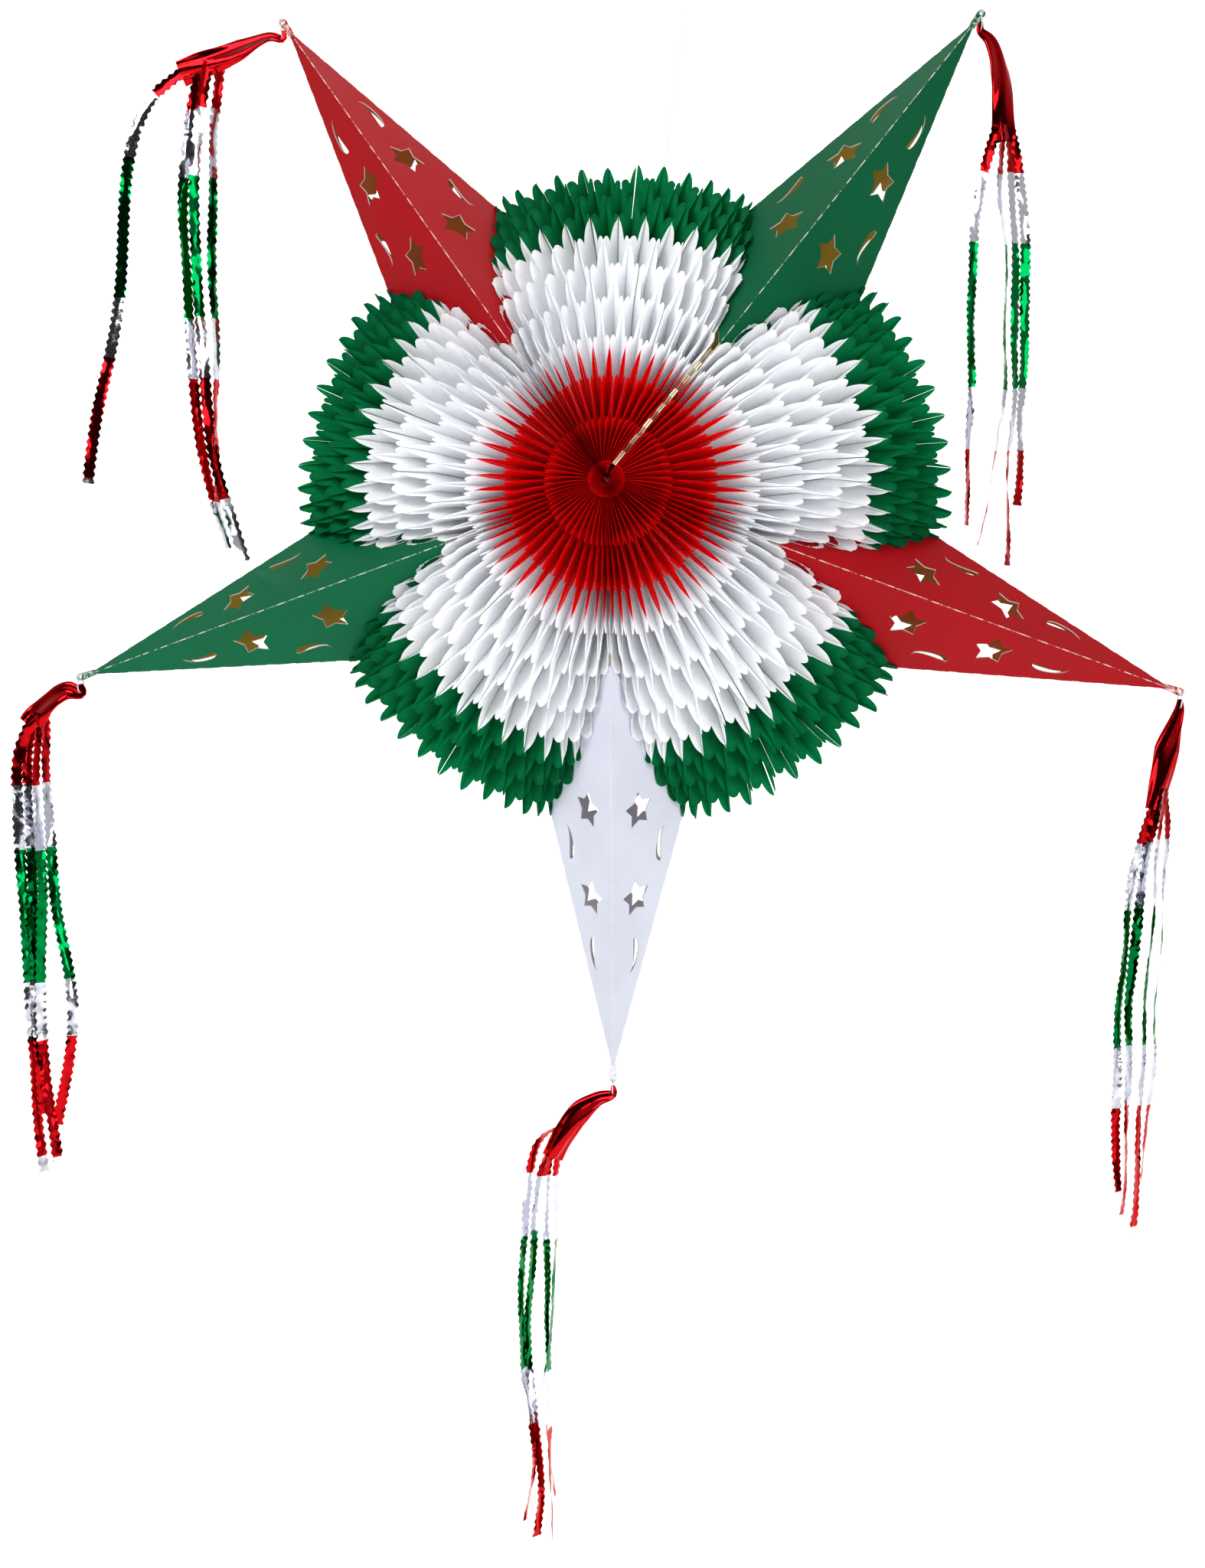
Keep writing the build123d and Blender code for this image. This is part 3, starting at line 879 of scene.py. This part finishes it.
def header(bm, route, seed):
    # film rolled and crushed into a neck at the tie
    settings = tasselSettings
    steps, around = 48, 28
    points, length = evenly(route, steps)
    before = len(bm.verts)
    bmesh.ops.create_grid(bm, x_segments=steps, y_segments=around, size=0.5)
    bm.verts.ensure_lookup_table()
    uvs = bm.loops.layers.uv.active
    spots = {}
    for vert in bm.verts[before:]:
        n = round((vert.co.x + 0.5) * steps)
        angle = (vert.co.y + 0.5) * 2 * pi
        spots[vert] = (length * n / steps, vert.co.y + 0.5)
        share = n / steps
        down = (points[min(steps, n + 1)] - points[max(0, n - 1)]).normalized()
        flat = down.cross(Vector((0, 1, 0)))
        neck = settings["neckRadius"]
        swell = neck + (settings["headerRadius"] - neck) * min(1, share * 2.2) ** 0.8
        folds = 1 + 0.2 * sin(angle * 3 + share * 3 + seed) * min(1, share * 4)
        folds += 0.25 * wander(cos(angle) + share * 3, sin(angle), seed)
        twist = 0.5 * sin(share * 4 + seed)
        wide = cos(angle) * swell * folds
        thick = sin(angle) * swell * settings["headerFlat"] * folds
        thick += settings["ruffle"] * sin(wide / swell * 4 + share * 5) * min(1, share * 3)
        vert.co = (points[n] + flat * (wide * cos(twist) - thick * sin(twist))
                   + Vector((0, 1, 0)) * (wide * sin(twist) + thick * cos(twist)))
    for vert in bm.verts[before:]:
        for loop in vert.link_loops:
            run, across = spots[vert]
            loop[uvs].uv = (across, run / filmSettings["longest"])
    return length


def tasselAt(name, headRoute, strips):
    settings = tasselSettings
    low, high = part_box(f"tip_tie_{name}")
    pivot = Vector(((low[0] + high[0]) / 2, (low[1] + high[1]) / 2,
                    low[2] + settings["wireRadius"]))
    random.seed(name)

    def placed(route):
        return [pivot + Vector((x * mm, 0, z * mm)) for x, z in route]

    bm = bmesh.new()
    bm.loops.layers.uv.new("UVMap")
    headLength = header(bm, placed([(0, settings["wrap"])] + headRoute), random.uniform(0, 9))
    bmesh.ops.remove_doubles(bm, verts=bm.verts, dist=0.00002)
    made = piece(f"crushedFilm_{name}", bm, [filmPaint])
    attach(made, f"tassel_{name}")
    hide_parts(f"tassel_header_{name}")

    bm = bmesh.new()
    bm.loops.layers.uv.new("UVMap")
    for n, (route, top, foot) in enumerate(strips):
        layer = (1 if n % 2 else -1) * settings["layer"] * (n // 2 + 1)
        strip(bm, placed(route), (top, foot), layer, headLength * 0.75, random.uniform(0, 9))
    made = piece(f"filmStrips_{name}", bm, [filmPaint])
    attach(made, f"tassel_{name}")
    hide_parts(f"tassel_strips_{name}")


for tasselName, (headRoute, strips) in tassels.items():
    tasselAt(tasselName, headRoute, strips)
print("tassels are hung")


# Finishes of the pieces that keep their own shape

finishes = {"divider": dividerCard, "mating_board": creamCard, "end_board": creamCard,
            "closing_tab": creamCard, "spine_cord": cordPaint, "binding_loops": cordPaint,
            "hanging_loop": threadPaint, "tip_tie": wirePaint}
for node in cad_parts:
    for start, finish in finishes.items():
        if node.startswith(start):
            for place in bpy.data.objects[node].material_slots:
                place.material = finish
print("finishes are on")


# Floor, light

stageSettings = {
    "floor": -1.05,
    "wall": 2.0,
    "bend": 1.4,
    "halfWidth": 4.0,
    "front": -3.0,
    "height": 3.0,
    "glow": 0.55,
}


def backdrop(settings):
    bm = bmesh.new()
    steps = 40
    bmesh.ops.create_grid(bm, x_segments=2, y_segments=steps, size=0.5)
    flatRun = settings["wall"] - settings["bend"] - settings["front"]
    curve = settings["bend"] * pi / 2
    total = flatRun + curve + settings["height"]
    for vert in bm.verts:
        run = (vert.co.y + 0.5) * total
        x = vert.co.x * 2 * settings["halfWidth"]
        if run < flatRun:
            y, z = settings["front"] + run, 0
        elif run < flatRun + curve:
            turn = (run - flatRun) / settings["bend"]
            y = settings["wall"] - settings["bend"] + settings["bend"] * sin(turn)
            z = settings["bend"] * (1 - cos(turn))
        else:
            y, z = settings["wall"], settings["bend"] + run - flatRun - curve
        vert.co = (x, y, settings["floor"] + z)
    mesh = bpy.data.meshes.new("backdrop")
    bm.to_mesh(mesh)
    bm.free()
    paint = Paint("backdrop")
    mesh.materials.append(paint.last(paint.surface({
        "Base Color": (0.9, 0.9, 0.9, 1), "Roughness": 0.9, "Specular IOR Level": 0.0,
        "Emission Color": (1, 1, 1, 1), "Emission Strength": settings["glow"]})))
    mesh.polygons.foreach_set("use_smooth", [True] * len(mesh.polygons))
    made = bpy.data.objects.new("backdrop", mesh)
    bpy.context.collection.objects.link(made)


lightSettings = [  # name, place from the hub, width, watts
    ("key", (-0.9, -1.4, 1.1), 1.1, 30),
    ("fill", (1.3, -1.2, 0.2), 1.1, 14),
    ("above", (0.1, 0.3, 1.5), 1.2, 8),
]


def softLight(name, fromHub, width, watts):
    data = bpy.data.lights.new(name, "AREA")
    data.shape = "DISK"
    data.size = width
    data.energy = watts
    made = bpy.data.objects.new(name, data)
    bpy.context.collection.objects.link(made)
    made.location = hub + Vector(fromHub)
    made.rotation_euler = (-Vector(fromHub)).to_track_quat("-Z", "Y").to_euler()


backdrop(stageSettings)
for lightFacts in lightSettings:
    softLight(*lightFacts)
world = bpy.data.worlds.new("studio")
world.use_nodes = True
sky = world.node_tree
around = sky.nodes.new("ShaderNodeTexCoord")
parts = sky.nodes.new("ShaderNodeSeparateXYZ")
room = sky.nodes.new("ShaderNodeMapRange")  # the room is dim behind the camera
room.interpolation_type = "SMOOTHSTEP"
for name, value in {"From Min": -0.95, "From Max": -0.35, "To Min": 0.05, "To Max": 0.95}.items():
    room.inputs[name].default_value = value
sky.links.new(around.outputs["Generated"], parts.inputs[0])
sky.links.new(parts.outputs["Y"], room.inputs["Value"])
rays = sky.nodes.new("ShaderNodeLightPath")
seen = sky.nodes.new("ShaderNodeMath")  # the backdrop's white goes on past its edges
seen.operation = "MULTIPLY_ADD"
seen.inputs[1].default_value = 1.6
sky.links.new(rays.outputs["Is Camera Ray"], seen.inputs[0])
sky.links.new(room.outputs["Result"], seen.inputs[2])
sky.links.new(seen.outputs[0], sky.nodes["Background"].inputs["Color"])
sky.nodes["Background"].inputs["Strength"].default_value = 0.62
bpy.context.scene.world = world
bpy.context.scene.view_settings.view_transform = "Standard"
print("studio is lit")
